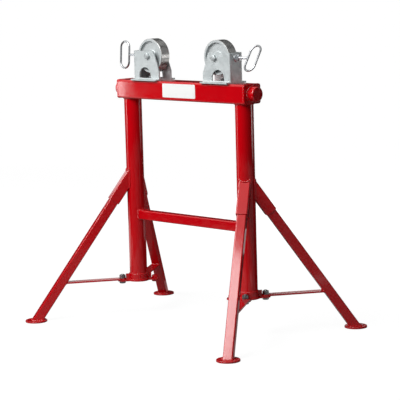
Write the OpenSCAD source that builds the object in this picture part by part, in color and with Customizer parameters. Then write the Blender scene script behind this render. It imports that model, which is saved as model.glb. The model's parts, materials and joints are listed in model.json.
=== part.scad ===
// Pipe roller support: a welded stand with four plug-in legs and two steel rollers.
// The origin is on the floor under the middle of the stand.
// X runs along the top beam, -Y is the front and Z is up. All sizes are in millimetres.

/* [Top beam] */
// Length of the beam over its end caps
beam_len = 600; // [560:1:680]
// Height of the beam section
beam_h = 63.5; // [55:0.5:80]
// Depth of the beam section, front to back
beam_d = 76.2; // [70:0.2:100]
// Wall of the beam tube
beam_wall = 4.8; // [3:0.1:6]
// Outside corner radius of the beam tube
beam_corner = 7; // [6.5:0.5:10]
// Height of the top face of the beam above the floor
beam_top = 820; // [760:1:900]
// Thickness of the plate that closes each end of the beam
cap_t = 5; // [3:0.5:8]

/* [End stubs] */
// Outside diameter of the round stub on each beam end
stub_od = 48.3; // [35:0.1:54]
// How far a stub stands out from the end cap
stub_len = 25; // [15:1:35]
// Wall of the stub
stub_wall = 4; // [3:0.5:6]
// Rounding of the closed end of the stub
stub_round = 4; // [1:0.5:4]

/* [Columns and crossbar] */
// Distance between the column axes
column_spacing = 526; // [500:1:540]
// Outside diameter of a column
column_od = 60.3; // [58:0.1:66]
// Wall of a column
column_wall = 3.9; // [3:0.1:6]
// Side of the square crossbar tube
crossbar_size = 31.75; // [25:0.25:40]
// Wall of the crossbar tube
crossbar_wall = 2.6; // [2:0.1:4]
// Outside corner radius of the square tubes
tube_corner = 4; // [3.2:0.1:5]
// Height of the middle of the crossbar above the floor
crossbar_z = 355; // [250:1:380]

/* [Legs] */
// Side of a square leg tube
leg_size = 31.75; // [28:0.25:34]
// Wall of a leg tube
leg_wall = 2.6; // [2:0.1:4]
// Slope of a leg from the vertical, in degrees
leg_tilt = 35; // [32:0.5:38]
// Direction of a leg from the beam axis in plan, in degrees
leg_plan = 57; // [50:1:62]
// Distance in plan from the column axis to the middle of a foot
foot_reach = 361.5; // [340:0.5:390]
// Wall of a leg socket
socket_wall = 3; // [2.5:0.1:4]
// Clearance around a leg inside its socket
socket_clear = 0.2; // [0.1:0.05:0.4]
// Length of a socket below the column face, along the leg
socket_len = 86; // [78:1:100]
// Length of leg that is pushed into its socket
leg_insert = 58; // [40:1:59]
// Diameter of a foot plate
foot_od = 75; // [66:1:90]
// Thickness of a foot plate
foot_t = 6; // [5:0.5:10]
// Rounding of the top edge of a foot plate
foot_round = 2; // [1:0.5:3]

/* [Base plates and braces] */
// Height of the underside of a base plate above the floor
base_z = 121.5; // [100:0.5:140]
// Thickness of a base plate
base_t = 5; // [4:0.5:8]
// How far the middle of a base plate stands out from the collar
base_margin = 3; // [2:0.5:6]
// Thickness of the collar round the foot of a column
collar_t = 3; // [2:0.5:4]
// Height of the collar and of the gussets beside it
collar_h = 20; // [14:1:26]
// Thickness of a gusset
gusset_t = 5; // [4:0.5:8]
// Distance from the column axis to a brace bolt
lug_reach = 57; // [56:0.5:66]
// Width of a brace bar and of a base plate lug
brace_w = 32; // [28:0.5:36]
// Thickness of a brace bar
brace_t = 5; // [4:0.5:7]

/* [Brace bolts] */
// Diameter of a brace bolt
bolt_d = 12; // [10:0.5:12]
// Width of a bolt head or nut across its flats
bolt_flats = 19; // [17:0.5:20]
// Height of a bolt head
bolt_head = 7.5; // [6:0.5:9]
// Height of a nut
nut_h = 10; // [8:0.5:11]
// Diameter of a washer
washer_od = 24; // [22:0.5:25]
// Thickness of a washer
washer_t = 2; // [1.5:0.25:3]
// Thread that stands out past a nut
thread_out = 2.5; // [2:0.5:8]
// Clearance of a bolt in its hole, on the diameter
bolt_clear = 0.6; // [0.4:0.1:1]

/* [Rollers] */
// Distance from the middle of the beam to the left axle, where its head is clamped
left_setting = 151; // [140:1:170]
// Distance from the middle of the beam to the right axle, where its head is clamped
right_setting = 162; // [140:1:170]
// How far a head slides towards the middle of the beam from its setting
slide_in = 50; // [20:1:60]
// How far a head slides outwards from its setting
slide_out = 30; // [10:1:40]
// Height of a roller axle above the beam
axle_h = 82; // [80:0.5:90]
// Diameter of a roller
wheel_d = 114.3; // [110:0.1:118]
// Width of the roller's tread
wheel_w = 38; // [32:0.5:42]
// Thickness of the rim under the tread
rim_t = 8; // [6:0.5:11]
// Thickness of the web between hub and rim
web_t = 22; // [16:0.5:26]
// Diameter of the hub
hub_d = 36; // [32:0.5:42]
// Length of the hub
hub_w = 46; // [42:0.5:50]
// Fillet between the web and the rim and hub
web_fillet = 4; // [2:0.5:4.5]
// Chamfer on the edges of the tread
tread_chamfer = 1.5; // [0.5:0.25:2.5]
// Outside diameter of the bronze bush in the hub
bush_od = 18; // [16.5:0.5:20]
// Diameter of the axle bolt
axle_d = 12.7; // [12:0.1:13.5]
// Running clearance between bush and axle, on the radius
axle_clear = 0.05; // [0.02:0.01:0.1]
// Thickness of a thrust washer beside the hub
thrust_t = 1.2; // [1:0.1:2]
// Outside diameter of a thrust washer
thrust_od = 26; // [24:0.5:30]
// Side clearance between the hub and each thrust washer
hub_clear = 0.3; // [0.3:0.05:0.6]

/* [Roller brackets] */
// Thickness of the bracket sheet
sheet = 5; // [4:0.25:6]
// Height of a bracket above the beam
bracket_h = 99; // [97:0.5:106]
// Length of a side plate from the axle to its inner end, at the beam
plate_foot = 53; // [45:0.5:60]
// Height up to which the inner end of a side plate is upright
plate_rise = 32; // [20:1:45]
// Length of a side plate from the axle to its inner end, at the top
plate_crown = 26; // [24:0.5:34]
// Rounding of the inner top corner of a side plate
plate_round = 7; // [4:0.5:12]
// Outside radius of the upright bends
bend_r = 6.5; // [6.5:0.5:10]
// Width of the flange that rests on the beam
flange_w = 18; // [14:0.5:22]
// Fillet between a side plate and its flange
flange_fillet = 3; // [1.5:0.5:4]
// Rounding of the free corners of a flange
flange_round = 5; // [2:0.5:10]
// Radius of the half-round opening in a side plate
arch_r = 28; // [24:0.5:30]
// Height of the upright sides of the opening
arch_rise = 8; // [2:0.5:12]
// Distance from the axle outwards to the middle of the opening and the hold-down bolt
arch_off = 15; // [11:0.5:16]
// Width of the strap that the hold-down bolt clamps
strap_w = 30; // [26:0.5:34]

/* [Roller locks] */
// Diameter of the threaded lock screw
screw_d = 10; // [9:0.5:11]
// Running clearance of the lock screw in its nut, on the radius
screw_clear = 0.08; // [0.05:0.01:0.1]
// Diameter of the plain tip that turns in the pad
tip_d = 6; // [5:0.5:7]
// Diameter of the pressure pad
pad_d = 22; // [18:0.5:26]
// Thickness of the pressure pad
pad_t = 4; // [3.5:0.25:4.5]
// Gap between the pad and the tread when released
pad_gap = 2; // [1.8:0.1:2.4]
// Room between the pad and the outer plate when released
pad_room = 2.35; // [2.2:0.05:2.8]
// Depth of the blind hole in the pad
pad_bore = 2.5; // [2:0.25:2.8]
// Diameter of the round foot of the welded lock nut
boss_d = 24; // [22:0.5:28]
// Thickness of the round foot of the lock nut
boss_t = 5; // [4:0.5:8]
// Width of the lock nut across its flats
lock_flats = 17; // [15:0.5:19]
// Length of the hexagon of the lock nut
lock_hex = 10; // [8:0.5:14]
// Diameter of the neck between the screw and the loop
neck_d = 8; // [7:0.5:8.5]
// Distance from the outer plate to the middle of the loop
loop_out = 73; // [66:0.5:80]
// Diameter of the loop wire
wire_d = 6.5; // [5:0.25:7]
// Outside length of the loop
loop_l = 97; // [84:1:106]
// Outside width of the loop
loop_w = 48; // [40:1:56]
// Rest angle of the left loop about its screw, in degrees
left_turn = -4; // [-40:1:40]
// Rest angle of the right loop about its screw, in degrees
right_turn = -32; // [-40:1:40]

/* [Hidden] */
$fn = 64;
// Gap left between welded pieces whose curved faces meet
weld_gap = 0.1;
// Extra length that lets a cut pass right through
over = 1;

beam_bottom = beam_top - beam_h;
column_x = column_spacing / 2;
column_r = column_od / 2;
base_top = base_z + base_t;

// The leg axis meets the column axis at this height and the floor at foot_reach
leg_apex = foot_reach / tan(leg_tilt);
leg_len = foot_reach / sin(leg_tilt);
socket_bore = leg_size + 2 * socket_clear;
socket_size = socket_bore + 2 * socket_wall;
socket_end = column_r / sin(leg_tilt) + socket_len;
leg_start = socket_end - leg_insert;
// Directions of the four legs, as signs along X and Y
LEFT = -1;
RIGHT = 1;
FRONT = -1;
REAR = 1;

brace_top = base_top + brace_t;
collar_r = column_r + collar_t;
// A brace stops at the edge of its washer, just clear of the gusset
brace_end = lug_reach - washer_od / 2;
gusset_end = brace_end - 0.5;
bolt_hole = bolt_d + bolt_clear;
bolt_top = brace_top + washer_t + nut_h + thread_out;

wheel_r = wheel_d / 2;
bush_bore = axle_d + 2 * axle_clear;
// The bracket clears the hub, its thrust washers and the side play
bracket_gap = hub_w + 2 * (thrust_t + hub_clear);
bracket_w = bracket_gap + 2 * sheet;
// The outer plate stands behind the tread, the pad and the pad's travel
plate_back = wheel_r + pad_gap + pad_t + pad_room + sheet;
axle_flats = 1.5 * axle_d;
axle_head = 8;
axle_nut = 11;
axle_hole = axle_d + bolt_clear;

pad_face = wheel_r + pad_gap;
tip_clear = 0.3;
// Distance of the loop's middle from the axle
loop_mid = plate_back + loop_out;
loop_bend = (loop_w - wire_d) / 2;
loop_straight = loop_l - loop_w;

PAINT = "#b8141c";
ZINC = "#c3c7ca";
STEEL = "#9a9ea2";
BRIGHT = "#d9dcde";
BRONZE = "#b08d57";

// Rectangle with rounded corners, centred on the origin
module rounded_rect(w, h, r) {
  square([w - 2 * r, h], center = true);
  square([w, h - 2 * r], center = true);
  for (x = [-1, 1], y = [-1, 1])
    translate([x * (w / 2 - r), y * (h / 2 - r)]) circle(r);
}

// Section of a rectangular tube
module tube_section(w, h, wall, r) {
  difference() {
    rounded_rect(w, h, r);
    rounded_rect(w - 2 * wall, h - 2 * wall, r - wall / 2);
  }
}

// Stand a section drawn in Y and Z up along X
module along_x(len) {
  rotate([90, 0, 90]) linear_extrude(len, center = true) children();
}

// Hexagonal prism given by its width across flats
module hex(flats, h) {
  cylinder(d = flats / cos(30), h = h, $fn = 6);
}

module ring(od, id, h) {
  difference() {
    cylinder(d = od, h = h);
    translate([0, 0, -over]) cylinder(d = id, h = h + 2 * over);
  }
}

module top_beam() {
  color(PAINT) difference() {
    translate([0, 0, beam_top - beam_h / 2])
      along_x(beam_len - 2 * cap_t) tube_section(beam_d, beam_h, beam_wall, beam_corner);
    for (side = [LEFT, RIGHT]) head(side) translate([arch_off, 0, -beam_wall - over])
      linear_extrude(beam_wall + 2 * over) slot();
  }
}

// Outline of the slot in the beam that a hold-down bolt slides along
module slot() {
  translate([-slide_in, -bolt_hole / 2]) square([slide_in + slide_out, bolt_hole]);
  for (x = [-slide_in, slide_out]) translate([x, 0]) circle(d = bolt_hole);
}

module end_cap(side) {
  color(PAINT) translate([side * (beam_len - cap_t) / 2, 0, beam_top - beam_h / 2])
    along_x(cap_t) rounded_rect(beam_d, beam_h, beam_corner);
}

// Half section of the closed stub, radius against length
module stub_profile() {
  r = stub_od / 2;
  difference() {
    union() {
      square([r, stub_len - stub_round]);
      square([r - stub_round, stub_len]);
      translate([r - stub_round, stub_len - stub_round]) circle(stub_round);
    }
    translate([-over, -over]) square([r - stub_wall + over, stub_len - stub_wall + over]);
    translate([-r, -over]) square([r, stub_len + 2 * over]);
  }
}

module end_stub(side) {
  color(PAINT) translate([side * beam_len / 2, 0, beam_top - beam_h / 2])
    rotate([0, side * 90, 0]) rotate_extrude() stub_profile();
}

module column(side) {
  color(PAINT) translate([side * column_x, 0, base_top])
    ring(column_od, column_od - 2 * column_wall, beam_bottom - base_top);
}

// Room that the columns take from the pieces welded against them
module column_cope() {
  for (side = [LEFT, RIGHT])
    translate([side * column_x, 0, 0]) cylinder(r = column_r + weld_gap, h = beam_top);
}

module crossbar() {
  color(PAINT) difference() {
    translate([0, 0, crossbar_z])
      along_x(column_spacing) tube_section(crossbar_size, crossbar_size, crossbar_wall, tube_corner);
    column_cope();
  }
}

// Direction of a leg in plan, in degrees
function leg_dir(side, end) = atan2(end * sin(leg_plan), side * cos(leg_plan));

// Turn to a leg's own plane: X runs out from the column axis along the leg's plan direction
module leg_plane(side, end) {
  translate([side * column_x, 0, 0]) rotate([0, 0, leg_dir(side, end)]) children();
}

// Follow a leg's axis: Z runs down the leg from the column axis
module leg_axis(side, end) {
  leg_plane(side, end) translate([0, 0, leg_apex]) rotate([0, 180 - leg_tilt, 0]) children();
}

// Both base plates are the same piece, turned end for end: two lugs point along the legs
// and take their braces, and one spare lug points back from the rear or front leg
function brace_lugs() = [leg_plan, -leg_plan];
function spare_lug() = 180 + leg_plan;
function all_lugs() = concat(brace_lugs(), spare_lug());

// Turn to a column's foot, with X outwards from the middle of the stand
module at_foot(side) {
  translate([side * column_x, 0, 0]) rotate([0, 0, side == LEFT ? 180 : 0]) children();
}

// Round the column foot, three lugs with a hole each for a bolt
module base_plate(side) {
  color(PAINT) at_foot(side) translate([0, 0, base_z]) linear_extrude(base_t) difference() {
    union() {
      circle(collar_r + base_margin);
      for (a = all_lugs()) rotate(a) {
        translate([0, -brace_w / 2]) square([lug_reach, brace_w]);
        translate([lug_reach, 0]) circle(d = brace_w);
      }
    }
    for (a = all_lugs()) rotate(a) translate([lug_reach, 0]) circle(d = bolt_hole);
  }
}

// A ring round each column foot
module foot_collars() {
  color(PAINT) for (side = [LEFT, RIGHT]) at_foot(side) translate([0, 0, base_top])
    ring(2 * collar_r, column_od + 2 * weld_gap, collar_h);
}

// An upright rib on each lug, coped to the collar
module foot_gussets() {
  color(PAINT) for (side = [LEFT, RIGHT]) at_foot(side) translate([0, 0, base_top]) difference() {
    for (a = all_lugs()) rotate([0, 0, a])
      translate([column_r, -gusset_t / 2, 0]) cube([gusset_end - column_r, gusset_t, collar_h]);
    translate([0, 0, -over]) cylinder(r = collar_r + weld_gap, h = collar_h + 2 * over);
  }
}

// A short square tube coped to the column that takes the top of a leg
module socket(side, end) {
  color(PAINT) difference() {
    leg_axis(side, end) linear_extrude(socket_end) difference() {
      rounded_rect(socket_size, socket_size, tube_corner);
      rounded_rect(socket_bore, socket_bore, tube_corner - socket_wall / 2);
    }
    column_cope();
  }
}

module leg(side, end) {
  color(PAINT) difference() {
    leg_axis(side, end) translate([0, 0, leg_start])
      linear_extrude(leg_len - leg_start + leg_size) tube_section(leg_size, leg_size, leg_wall, tube_corner);
    floor_cut(side, end);
  }
}

// Everything below the top of a foot plate
module floor_cut(side, end) {
  leg_plane(side, end) translate([foot_reach - foot_od, -foot_od, foot_t - 2 * foot_od])
    cube(2 * foot_od);
}

module foot(side, end) {
  r = foot_od / 2;
  color(PAINT) leg_plane(side, end) translate([foot_reach, 0, 0]) {
    rotate_extrude() intersection() {
      union() {
        square([r, foot_t - foot_round]);
        square([r - foot_round, foot_t]);
        translate([r - foot_round, foot_t - foot_round]) circle(foot_round);
      }
      square([r, foot_t]);
    }
  }
}

// A flat bar from its bolt on the base plate to the inner face of the leg
module brace(side, end) {
  leg_mid = foot_reach - base_top * tan(leg_tilt);
  color(PAINT) difference() {
    leg_plane(side, end) translate([0, 0, base_top]) linear_extrude(brace_t) difference() {
      union() {
        translate([lug_reach, -brace_w / 2]) square([leg_mid - lug_reach, brace_w]);
        translate([lug_reach, 0]) circle(d = brace_w);
      }
      translate([brace_end - brace_w, -brace_w / 2]) square(brace_w);
      translate([lug_reach, 0]) circle(d = bolt_hole);
    }
    leg_axis(side, end) translate([0, 0, leg_len / 2]) linear_extrude(leg_len)
      square([leg_size + 2 * weld_gap, 2 * brace_w], center = true);
  }
}

// Turn to the bolt holes in the lugs at the given angles, on both base plates
module at_lugs(angles) {
  for (side = [LEFT, RIGHT]) at_foot(side)
    for (a = angles) rotate(a) translate([lug_reach, 0, 0]) rotate(-a) children();
}

// A bolt from below the base plate up to the given height
module plate_bolt(top) {
  translate([0, 0, base_z - bolt_head]) hex(bolt_flats, bolt_head);
  translate([0, 0, base_z - over]) cylinder(d = bolt_d, h = top - base_z + over);
}

module plate_nut() {
  difference() {
    hex(bolt_flats, nut_h);
    translate([0, 0, -over]) cylinder(d = bolt_hole, h = nut_h + 2 * over);
  }
}

module brace_bolts() {
  color(ZINC) at_lugs(brace_lugs()) plate_bolt(bolt_top);
}

module brace_washers() {
  color(ZINC) at_lugs(brace_lugs()) translate([0, 0, brace_top]) ring(washer_od, bolt_hole, washer_t);
}

module brace_nuts() {
  color(ZINC) at_lugs(brace_lugs()) translate([0, 0, brace_top + washer_t]) plate_nut();
}

// The spare lugs carry painted bolts with their nuts right on the plate
module spare_bolts() {
  color(PAINT) at_lugs([spare_lug()]) plate_bolt(base_top + nut_h);
}

module spare_nuts() {
  color(PAINT) at_lugs([spare_lug()]) translate([0, 0, base_top]) plate_nut();
}

// A roller head is drawn for the right-hand end from its axle, on the beam top, and mirrored
module head(side) {
  setting = side == LEFT ? left_setting : right_setting;
  mirror([side == LEFT ? 1 : 0, 0, 0]) translate([setting, 0, beam_top]) children();
}

// Plan of the folded sheet: two side plates joined by the outer plate
module bracket_plan() {
  len = plate_foot + plate_back;
  inner_r = bend_r - sheet;
  difference() {
    plan_outline(len, bracket_w, bend_r);
    translate([-over, 0]) plan_outline(len - sheet + over, bracket_gap, inner_r);
  }
}

// A rectangle from the plates' inner end with its two outer corners rounded
module plan_outline(len, w, r) {
  translate([-plate_foot, -w / 2]) square([len - r, w]);
  translate([-plate_foot, -w / 2 + r]) square([len, w - 2 * r]);
  for (y = [-1, 1]) translate([len - plate_foot - r, y * (w / 2 - r)]) circle(r);
}

// Side view of the bracket: its inner end is upright at the foot, then sloped and rounded at the top
module bracket_side() {
  slope = atan2(plate_foot - plate_crown, bracket_h - plate_rise);
  // The corner circle touches the top edge and the sloped edge
  corner_x = -plate_crown + plate_round * tan((90 + slope) / 2 - slope);
  drop = plate_round * (1 - sin(slope));
  touch = [corner_x - plate_round * cos(slope), bracket_h - drop];
  polygon([
    [-plate_foot, 0], [plate_back, 0], [plate_back, bracket_h], [corner_x, bracket_h],
    [corner_x, bracket_h - plate_round], touch, [-plate_foot, plate_rise]
  ]);
  translate([corner_x, bracket_h - plate_round]) circle(plate_round);
}

// Plan of a flange from the inner face of a side plate, with its two free corners rounded
module flange_plan() {
  len = plate_foot + plate_back;
  reach = sheet + flange_w;
  square([len, reach - flange_round]);
  translate([flange_round, 0]) square([len - 2 * flange_round, reach]);
  for (x = [flange_round, len - flange_round])
    translate([x, reach - flange_round]) circle(flange_round);
}

// Section of the bend between a side plate and its flange, from the plate's inner face
module bend_section() {
  difference() {
    square(sheet + flange_fillet);
    translate([sheet + flange_fillet, sheet + flange_fillet]) circle(flange_fillet);
  }
}

// The half-round opening, with its flat side on the flange
module arch() {
  translate([arch_off, 0, sheet + flange_fillet]) rotate([90, 0, 0])
    linear_extrude(2 * bracket_w, center = true) {
      translate([-arch_r, 0]) square([2 * arch_r, arch_rise]);
      translate([0, arch_rise]) intersection() {
        circle(arch_r);
        translate([-arch_r, 0]) square([2 * arch_r, arch_r]);
      }
    }
}

module bracket(side) {
  bend_end = plate_back - bend_r;
  color(ZINC) head(side) difference() {
    union() {
      intersection() {
        linear_extrude(bracket_h) bracket_plan();
        rotate([90, 0, 0]) linear_extrude(2 * bracket_w, center = true) bracket_side();
      }
      for (y = [0, 1]) mirror([0, y, 0]) {
        translate([-plate_foot, bracket_gap / 2, 0]) linear_extrude(sheet) flange_plan();
        translate([bend_end, bracket_gap / 2, 0]) rotate([90, 0, -90])
          mirror([1, 0, 0]) linear_extrude(bend_end + plate_foot) bend_section();
      }
    }
    arch();
    translate([0, 0, axle_h]) rotate([90, 0, 0])
      cylinder(d = axle_hole, h = 2 * bracket_w, center = true);
    translate([plate_back - sheet - over, 0, axle_h]) rotate([0, 90, 0])
      cylinder(r = screw_d / 2 + screw_clear, h = sheet + 2 * over);
  }
}

// A flat strap welded between the side plates, clamped down by the bolt
module hold_down_strap(side) {
  color(ZINC) head(side) translate([arch_off, 0, 0]) difference() {
    translate([-strap_w / 2, -bracket_gap / 2, 0]) cube([strap_w, bracket_gap, sheet]);
    translate([0, 0, -over]) cylinder(d = bolt_hole, h = sheet + 2 * over);
  }
}

module hold_down_bolt(side) {
  tail = beam_wall + nut_h + thread_out;
  color(ZINC) head(side) translate([arch_off, 0, 0]) {
    translate([0, 0, sheet]) cylinder(d = washer_od, h = washer_t);
    translate([0, 0, sheet + washer_t - over]) hex(bolt_flats, bolt_head + over);
    translate([0, 0, -tail]) cylinder(d = bolt_d, h = tail + sheet + over);
  }
}

module hold_down_nut(side) {
  color(ZINC) head(side) translate([arch_off, 0, -beam_wall - nut_h]) difference() {
    hex(bolt_flats, nut_h);
    translate([0, 0, -over]) cylinder(d = bolt_hole, h = nut_h + 2 * over);
  }
}

// Turn to the axle: Z runs from the front of the head to its rear
module on_axle(side) {
  head(side) translate([0, 0, axle_h]) rotate([-90, 0, 0]) children();
}

module axle_bolt(side) {
  reach = bracket_w / 2;
  color(BRIGHT) on_axle(side) {
    translate([0, 0, -reach - axle_head]) hex(axle_flats, axle_head);
    translate([0, 0, -reach - over]) cylinder(d = axle_d, h = bracket_w + axle_nut + thread_out + over);
  }
}

module axle_nut(side) {
  color(BRIGHT) on_axle(side) translate([0, 0, bracket_w / 2]) difference() {
    hex(axle_flats, axle_nut);
    translate([0, 0, -over]) cylinder(d = axle_hole, h = axle_nut + 2 * over);
  }
}

module thrust_washers(side) {
  color(STEEL) on_axle(side) for (z = [-bracket_gap / 2, bracket_gap / 2 - thrust_t])
    translate([0, 0, z]) ring(thrust_od, axle_hole, thrust_t);
}

// Half section of the roller, radius against half width
module roller_profile() {
  rim_in = wheel_r - rim_t;
  hub_r = hub_d / 2;
  difference() {
    union() {
      translate([bush_od / 2, 0]) square([hub_r - bush_od / 2, hub_w / 2]);
      translate([bush_od / 2, 0]) square([wheel_r - bush_od / 2, web_t / 2]);
      translate([rim_in, 0]) polygon([
        [0, 0], [rim_t, 0], [rim_t, wheel_w / 2 - tread_chamfer],
        [rim_t - tread_chamfer, wheel_w / 2], [0, wheel_w / 2]
      ]);
      translate([hub_r, web_t / 2]) square(web_fillet);
      translate([rim_in - web_fillet, web_t / 2]) square(web_fillet);
    }
    translate([hub_r + web_fillet, web_t / 2 + web_fillet]) circle(web_fillet);
    translate([rim_in - web_fillet, web_t / 2 + web_fillet]) circle(web_fillet);
  }
}

module roller(side) {
  color(STEEL) on_axle(side) rotate_extrude() {
    roller_profile();
    mirror([0, 1]) roller_profile();
  }
}

module bush(side) {
  color(BRONZE) on_axle(side) translate([0, 0, -hub_w / 2]) ring(bush_od, bush_bore, hub_w);
}

// Turn to the lock screw: Z runs outwards from the roller axle
module on_screw(side) {
  head(side) translate([0, 0, axle_h]) rotate([0, 90, 0]) children();
}

module lock_nut(side) {
  color(ZINC) on_screw(side) translate([0, 0, plate_back]) difference() {
    union() {
      cylinder(d = boss_d, h = boss_t);
      hex(lock_flats, boss_t + lock_hex);
    }
    translate([0, 0, -over]) cylinder(r = screw_d / 2 + screw_clear, h = boss_t + lock_hex + 2 * over);
  }
}

// The pad stays square to the tread while the screw turns in its blind hole
module lock_pad(side) {
  color(STEEL) on_screw(side) translate([0, 0, pad_face]) difference() {
    cylinder(d = pad_d, h = pad_t);
    translate([0, 0, pad_t - pad_bore]) cylinder(r = tip_d / 2 + screw_clear, h = pad_bore + over);
  }
}

// Thread, plain tip and neck; the neck's end is hollowed to sit on the loop wire
module lock_screw(side, turn) {
  tip_start = pad_face + pad_t - pad_bore + tip_clear;
  shoulder = pad_face + pad_t + tip_clear;
  thread_end = plate_back + boss_t + lock_hex + thread_out;
  neck_end = loop_mid - loop_bend;
  color(BRIGHT) on_screw(side) rotate([0, 0, turn]) difference() {
    union() {
      translate([0, 0, tip_start]) cylinder(d = tip_d, h = shoulder - tip_start + over);
      translate([0, 0, shoulder]) cylinder(d = screw_d, h = thread_end - shoulder);
      translate([0, 0, thread_end - over]) cylinder(d = neck_d, h = neck_end - thread_end + over);
    }
    translate([0, 0, neck_end]) rotate([0, 90, 0])
      cylinder(r = wire_d / 2 + weld_gap, h = 2 * neck_d, center = true);
  }
}

// A closed oval of round wire, long across the screw
module loop_handle(side, turn) {
  color(BRIGHT) on_screw(side) rotate([0, 0, turn]) translate([0, 0, loop_mid]) rotate([0, 90, 0]) {
    for (x = [-loop_bend, loop_bend])
      translate([x, 0, 0]) cylinder(d = wire_d, h = loop_straight, center = true);
    for (z = [-1, 1])
      translate([0, 0, z * loop_straight / 2]) rotate([90 * z, 0, 0])
        rotate_extrude(angle = 180) translate([loop_bend, 0]) circle(d = wire_d);
  }
}

top_beam();
end_cap(LEFT);  // left_end_cap
end_cap(RIGHT);  // right_end_cap
end_stub(LEFT);  // left_end_stub
end_stub(RIGHT);  // right_end_stub
column(LEFT);  // left_column
column(RIGHT);  // right_column
crossbar();
base_plate(LEFT);  // left_base_plate
base_plate(RIGHT);  // right_base_plate
socket(LEFT, FRONT);  // front_left_socket
socket(LEFT, REAR);  // rear_left_socket
socket(RIGHT, FRONT);  // front_right_socket
socket(RIGHT, REAR);  // rear_right_socket
leg(LEFT, FRONT);  // front_left_leg
leg(LEFT, REAR);  // rear_left_leg
leg(RIGHT, FRONT);  // front_right_leg
leg(RIGHT, REAR);  // rear_right_leg
foot(LEFT, FRONT);  // front_left_foot
foot(LEFT, REAR);  // rear_left_foot
foot(RIGHT, FRONT);  // front_right_foot
foot(RIGHT, REAR);  // rear_right_foot
brace(LEFT, FRONT);  // front_left_brace
brace(LEFT, REAR);  // rear_left_brace
brace(RIGHT, FRONT);  // front_right_brace
brace(RIGHT, REAR);  // rear_right_brace
foot_collars();
foot_gussets();
spare_bolts();
spare_nuts();
brace_bolts();
brace_washers();
brace_nuts();
bracket(LEFT);  // left_bracket
bracket(RIGHT);  // right_bracket
hold_down_strap(LEFT);  // left_hold_down_strap
hold_down_strap(RIGHT);  // right_hold_down_strap
hold_down_bolt(LEFT);  // left_hold_down_bolt
hold_down_bolt(RIGHT);  // right_hold_down_bolt
hold_down_nut(LEFT);  // left_hold_down_nut
hold_down_nut(RIGHT);  // right_hold_down_nut
axle_bolt(LEFT);  // left_axle_bolt
axle_bolt(RIGHT);  // right_axle_bolt
axle_nut(LEFT);  // left_axle_nut
axle_nut(RIGHT);  // right_axle_nut
thrust_washers(LEFT);  // left_thrust_washers
thrust_washers(RIGHT);  // right_thrust_washers
roller(LEFT);  // left_roller
roller(RIGHT);  // right_roller
bush(LEFT);  // left_bush
bush(RIGHT);  // right_bush
lock_nut(LEFT);  // left_lock_nut
lock_nut(RIGHT);  // right_lock_nut
lock_pad(LEFT);  // left_lock_pad
lock_pad(RIGHT);  // right_lock_pad
lock_screw(LEFT, left_turn);  // left_lock_screw
lock_screw(RIGHT, right_turn);  // right_lock_screw
loop_handle(LEFT, left_turn);  // left_loop_handle
loop_handle(RIGHT, right_turn);  // right_loop_handle
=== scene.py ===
"""Dress the pipe roller support: finishes, weld beads, threaded hardware, bare plate and studio."""
import json
import logging
import math
from abc import ABC, abstractmethod
from dataclasses import dataclass, field
from enum import Enum

import bmesh
import bpy
import numpy as np
from mathutils import Matrix, Vector

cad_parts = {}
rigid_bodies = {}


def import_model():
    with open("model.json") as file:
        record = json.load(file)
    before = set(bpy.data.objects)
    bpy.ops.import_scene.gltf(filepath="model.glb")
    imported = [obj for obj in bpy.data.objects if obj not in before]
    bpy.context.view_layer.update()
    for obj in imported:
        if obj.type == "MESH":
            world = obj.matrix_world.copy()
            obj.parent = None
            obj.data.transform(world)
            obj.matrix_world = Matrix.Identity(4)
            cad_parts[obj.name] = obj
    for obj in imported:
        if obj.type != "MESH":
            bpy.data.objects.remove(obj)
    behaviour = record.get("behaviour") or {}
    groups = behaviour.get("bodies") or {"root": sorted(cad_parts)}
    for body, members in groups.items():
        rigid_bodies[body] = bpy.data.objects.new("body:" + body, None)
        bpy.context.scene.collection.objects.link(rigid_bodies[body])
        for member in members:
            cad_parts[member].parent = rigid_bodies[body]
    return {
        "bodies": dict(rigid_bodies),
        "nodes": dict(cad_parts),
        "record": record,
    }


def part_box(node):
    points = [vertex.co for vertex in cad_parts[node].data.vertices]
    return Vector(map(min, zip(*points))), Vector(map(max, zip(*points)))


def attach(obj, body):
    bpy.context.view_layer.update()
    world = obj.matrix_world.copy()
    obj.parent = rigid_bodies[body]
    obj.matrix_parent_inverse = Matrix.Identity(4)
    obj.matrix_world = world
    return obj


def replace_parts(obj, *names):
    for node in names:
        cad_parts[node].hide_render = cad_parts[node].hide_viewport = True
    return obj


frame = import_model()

LOG = logging.getLogger("pipe_roller_support")
MM = 0.001
CORNER_POINTS = 13
WELD_SHARP = 80.0
UPRIGHT = np.eye(3)
UPSIDE_DOWN = np.diag([1.0, -1.0, -1.0])
Array = np.ndarray
Material = bpy.types.Material
Socket = bpy.types.NodeSocket
Pair = tuple[float, float]
Point = tuple[float, float, float]
Colour = tuple[float, float, float]


class Side(Enum):
    """The two ends of the top beam, by their sign along X."""

    LEFT = -1
    RIGHT = 1

    def name_of(self, piece: str) -> str:
        """Name of this side's node or body for a piece."""
        return f"{self.name.lower()}_{piece}"


class End(Enum):
    """Front and rear of the stand, by their sign along Y."""

    FRONT = -1
    REAR = 1


class Slot(Enum):
    """Material slots of the record, named with some new pieces but not given to them."""

    RED_PAINT = "red_paint"
    ZINC = "zinc"
    BRIGHT_STEEL = "bright_steel"


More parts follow.
